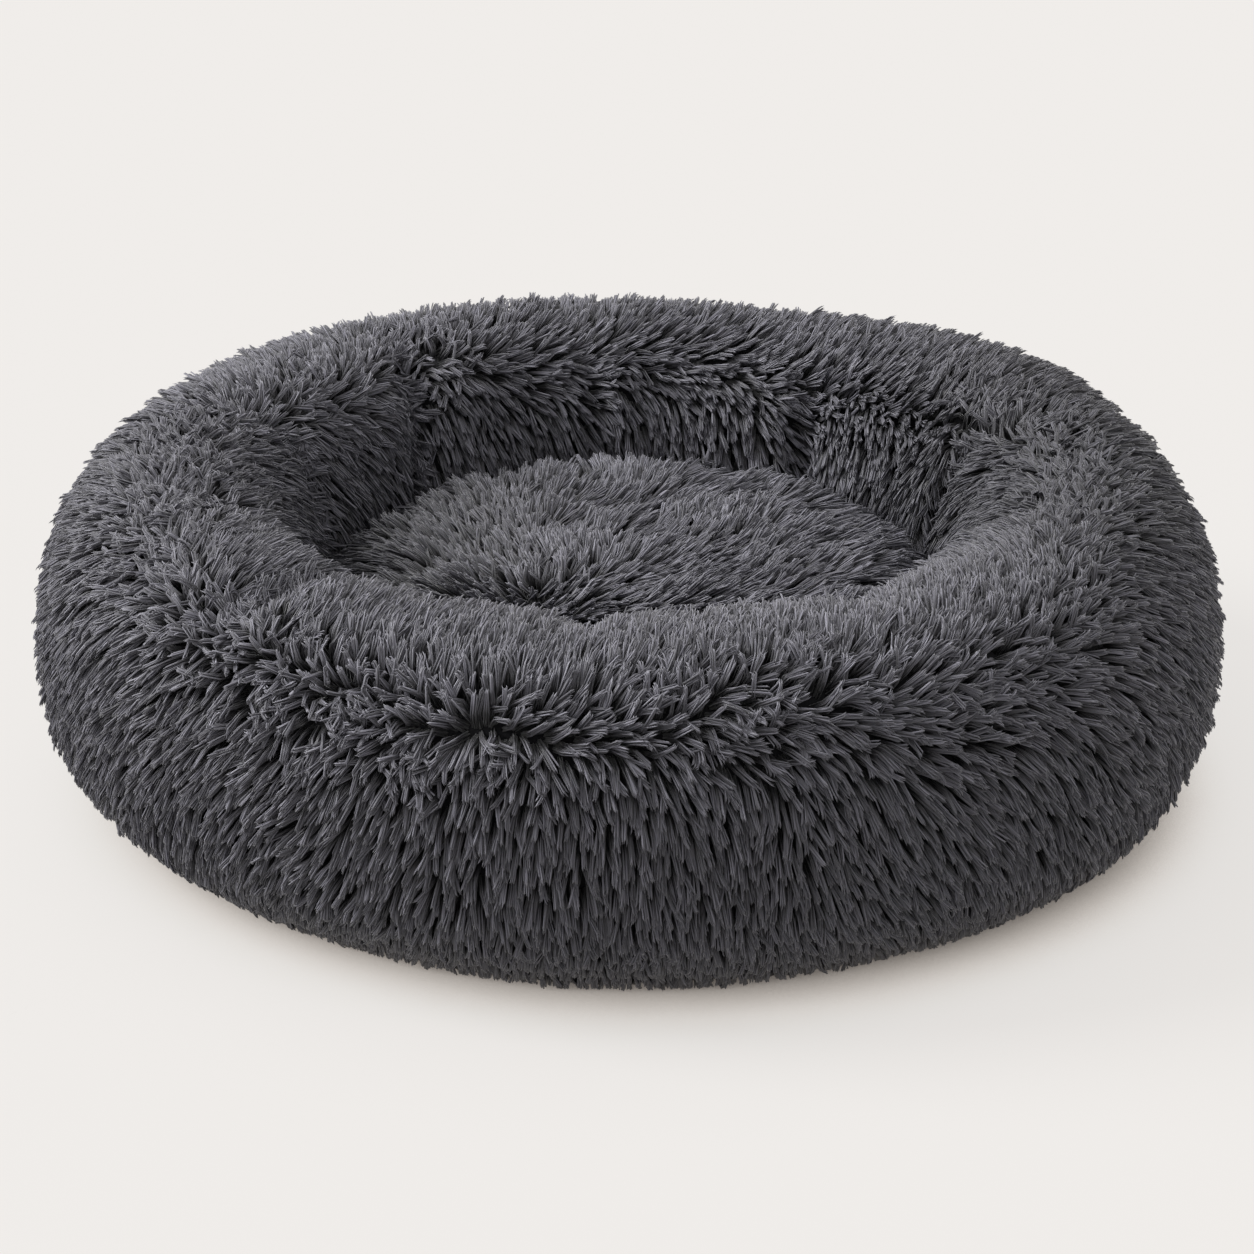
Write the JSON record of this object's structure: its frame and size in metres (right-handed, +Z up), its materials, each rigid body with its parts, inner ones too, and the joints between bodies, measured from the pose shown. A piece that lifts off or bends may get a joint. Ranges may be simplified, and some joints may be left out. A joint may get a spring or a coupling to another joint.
{
  "type": "donut pet bed",
  "caption": "Round plush pet bed: a stuffed ring with a removable cover round a loose crowned cushion, on a flat grip base.",
  "frame": {"origin": "on the floor at the bed's centre", "axes": "+Z up, -Y the front and +Y the back, where the zip is"},
  "size_m": [0.592, 0.592, 0.166],
  "materials": {
    "plush": "long-pile dark grey plush",
    "liner": "plain undyed cloth",
    "filling": "white polyester fibre",
    "base_cloth": "coated woven cloth with printed grip dots",
    "tape_cloth": "plain dark grey woven cloth",
    "zip_teeth": "moulded dark grey plastic",
    "zip_metal": "dark grey painted zinc"
  },
  "bodies": {
    "root": {"bolster_outer_cover": "plush", "bolster_well_cover": "plush", "bolster_liner_bag": "liner", "bolster_fibre_filling": "filling", "base_panel": "base_cloth", "zip_upper_tape": "tape_cloth", "zip_lower_tape": "tape_cloth", "zip_upper_teeth": "zip_teeth", "zip_lower_teeth": "zip_teeth", "zip_closed_end_stop": "zip_metal", "zip_open_end_stop": "zip_metal"},
    "cushion": {"cushion_top_cover": "plush", "cushion_bottom_cover": "tape_cloth", "cushion_fibre_filling": "filling"},
    "slider": {"zip_slider": "zip_metal"},
    "pull": {"zip_pull": "zip_metal"}
  },
  "joints": [
    {"name": "cushion_lift", "type": "slide", "parent": "root", "child": "cushion", "axis": [0, 0, 1], "range_m": [0, 0.2]},
    {"name": "zip_run", "type": "hinge", "parent": "root", "child": "slider", "pos_m": [0, 0, 0.02754], "axis": [0, 0, 1], "range_deg": [0, 66]},
    {"name": "pull_swing", "type": "hinge", "parent": "slider", "child": "pull", "pos_m": [0.14873, 0.22859, 0.02538], "axis": [-0.2589, -0.3979, -0.8802], "range_deg": [0, 180]}
  ]
}
